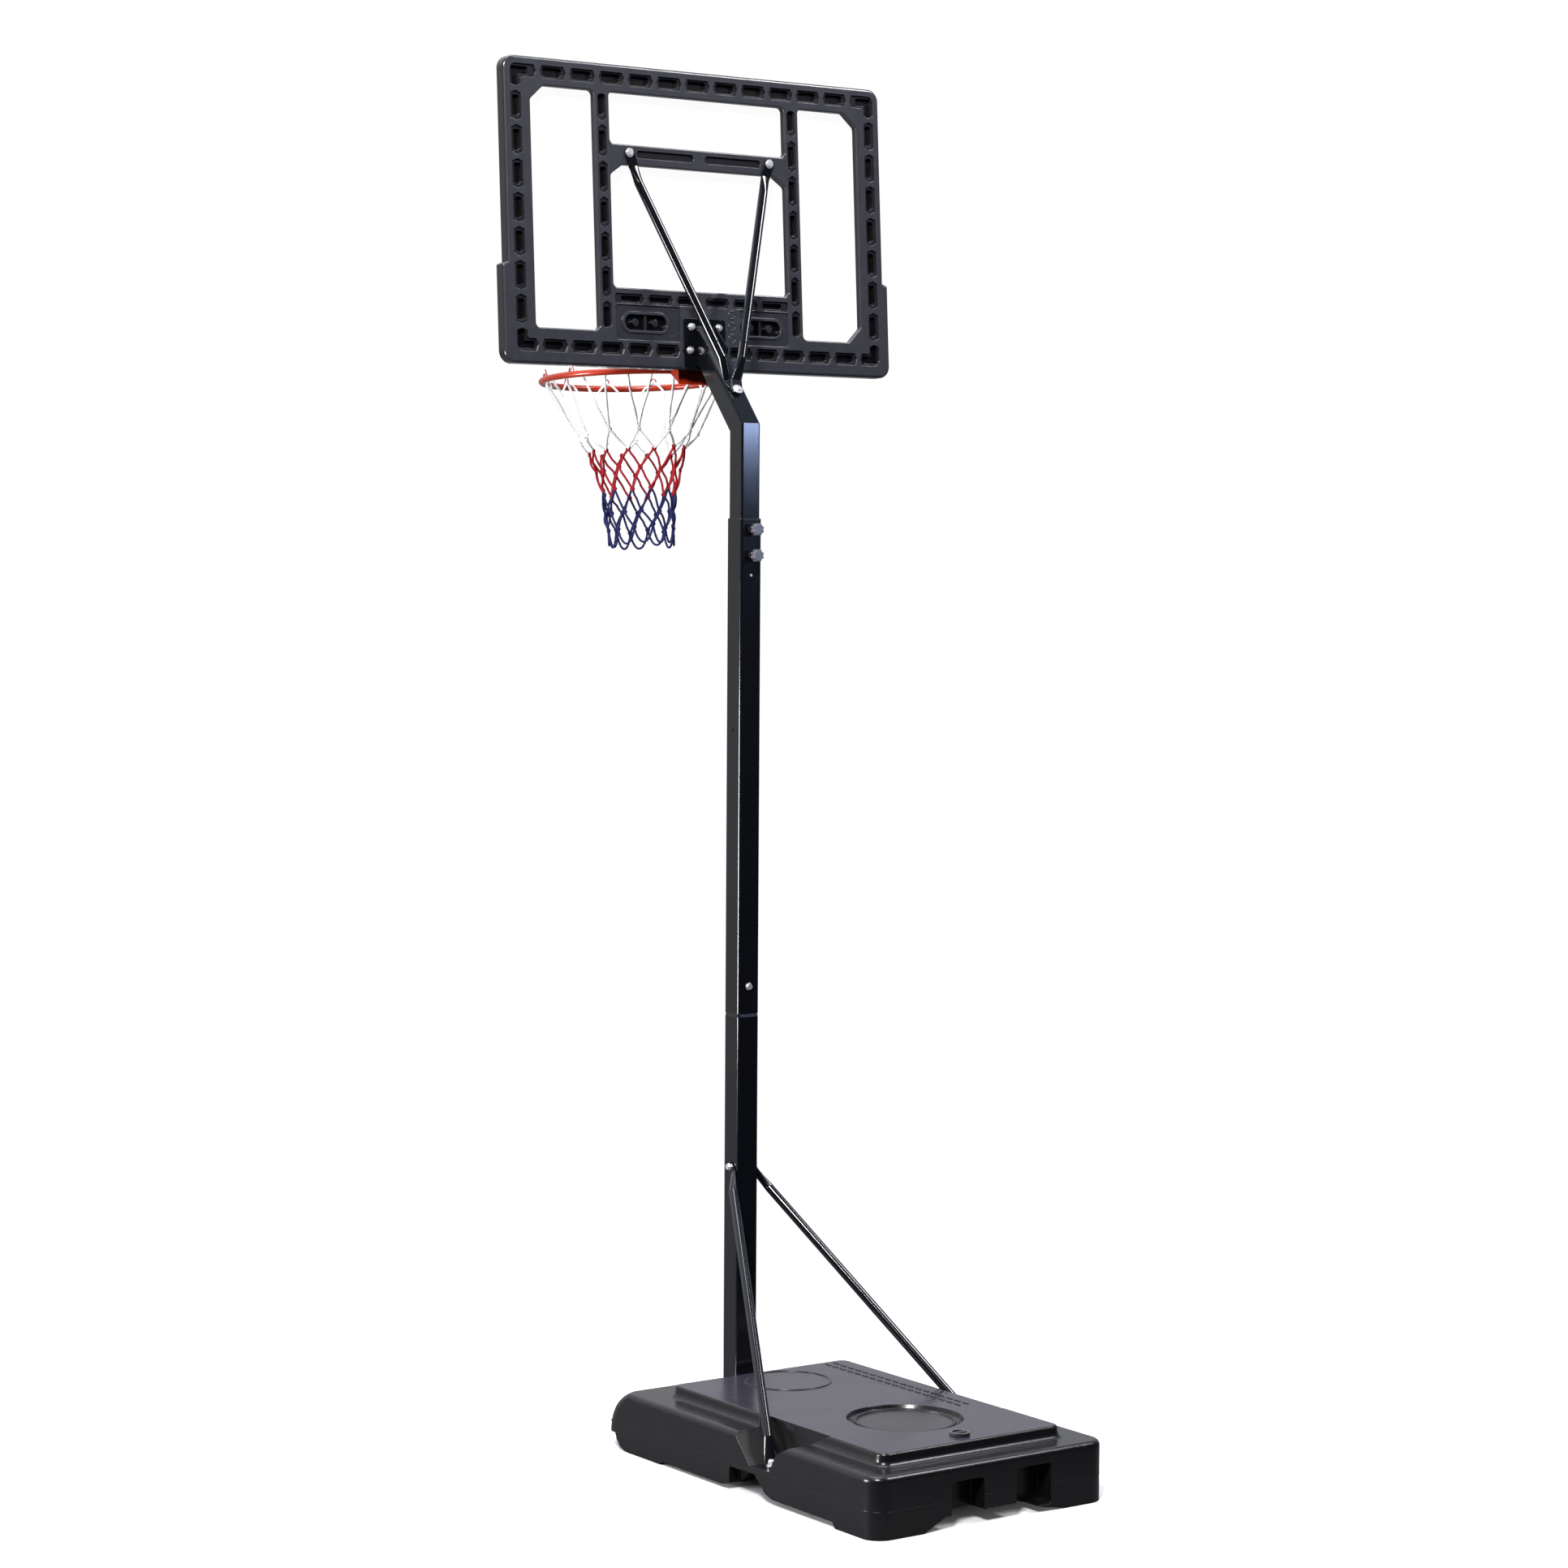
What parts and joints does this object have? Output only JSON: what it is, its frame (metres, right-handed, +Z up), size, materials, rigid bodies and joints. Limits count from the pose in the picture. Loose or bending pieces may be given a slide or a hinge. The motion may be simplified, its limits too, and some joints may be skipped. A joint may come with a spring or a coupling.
{
  "type": "portable basketball hoop",
  "caption": "Free-standing basketball hoop: ballast tank on wheels, square telescoping mast with side braces, framed clear backboard, orange ring and a red, white and blue net.",
  "frame": {"origin": "on the floor under the axis of the square mast, on the bottom face of the mast's foot cap", "axes": "+Z up along the mast, -Y towards the playing side (ring and clear sheet), +Y back along the ballast tank, +X to the left seen from behind the board"},
  "size_m": [1.13, 1.7172, 3.3097],
  "materials": {
    "tank_plastic": "matte",
    "water": "smooth",
    "cap_plastic": "gloss",
    "seal_rubber": "matte",
    "wheel_plastic": "matte",
    "zinc_steel": "zinc plated",
    "black_steel": "gloss powder coat",
    "frame_plastic": "satin",
    "clear_sheet": "clear gloss",
    "ring_steel": "gloss powder coat",
    "net_cord": "woven",
    "knob_plastic": "satin",
    "guide_plastic": "satin"
  },
  "bodies": {
    "base": {"base_tank": "tank_plastic", "tank_ballast": "water", "wheel_axle": "zinc_steel", "axle_push_caps": "zinc_steel", "lower_pole": "black_steel", "middle_pole": "black_steel", "pole_foot_cap": "guide_plastic", "guide_bush": "guide_plastic", "bush_rivet": "zinc_steel", "joint_bolt": "zinc_steel", "joint_nut": "zinc_steel", "clamp_collars": "black_steel", "brace_left": "black_steel", "brace_right": "black_steel", "brace_top_bolt": "zinc_steel", "brace_top_nut": "zinc_steel", "brace_foot_bolts": "zinc_steel", "brace_foot_nuts": "zinc_steel"},
    "mast_head": {"top_tube": "black_steel", "tube_glide": "guide_plastic", "board_frame": "frame_plastic", "clear_panel": "clear_sheet", "panel_screws": "zinc_steel", "board_bracket": "black_steel", "rim_ring": "ring_steel", "rim_plate": "ring_steel", "net_hooks": "ring_steel", "net": "net_cord", "rim_bolts": "zinc_steel", "rim_nuts": "zinc_steel", "v_strut_left": "black_steel", "v_strut_right": "black_steel", "strut_tube_bolt": "zinc_steel", "strut_tube_washer": "zinc_steel", "strut_tube_nut": "zinc_steel", "strut_board_screws": "zinc_steel"},
    "wheel_l": {"wheel_left": "wheel_plastic"},
    "wheel_r": {"wheel_right": "wheel_plastic"},
    "neck_cap": {"filler_cap": "cap_plastic", "filler_seal": "seal_rubber"},
    "clamp_low": {"clamp_head_lower": "knob_plastic", "clamp_screw_lower": "zinc_steel"},
    "clamp_high": {"clamp_head_upper": "knob_plastic", "clamp_screw_upper": "zinc_steel"}
  },
  "joints": [
    {"name": "mast_slide", "type": "slide", "parent": "base", "child": "mast_head", "axis": [0, 0, 1], "range_m": [-0.2, 0.47]},
    {"name": "wheel_left_spin", "type": "hinge", "parent": "base", "child": "wheel_l", "pos_m": [0.235, -0.05, 0.038], "axis": [1, 0, 0], "continuous": true},
    {"name": "wheel_right_spin", "type": "hinge", "parent": "base", "child": "wheel_r", "pos_m": [-0.235, -0.05, 0.038], "axis": [1, 0, 0], "continuous": true},
    {"name": "neck_cap_turn", "type": "hinge", "parent": "base", "child": "neck_cap", "pos_m": [0, 0.868, 0.17], "axis": [0, 0, 1], "range_deg": [0, 720]},
    {"name": "clamp_lower_turn", "type": "hinge", "parent": "base", "child": "clamp_low", "pos_m": [0, 0.05, 2.138], "axis": [0, 1, 0], "range_deg": [0, 720]},
    {"name": "clamp_upper_turn", "type": "hinge", "parent": "base", "child": "clamp_high", "pos_m": [0, 0.05, 2.2], "axis": [0, 1, 0], "range_deg": [0, 720]}
  ]
}
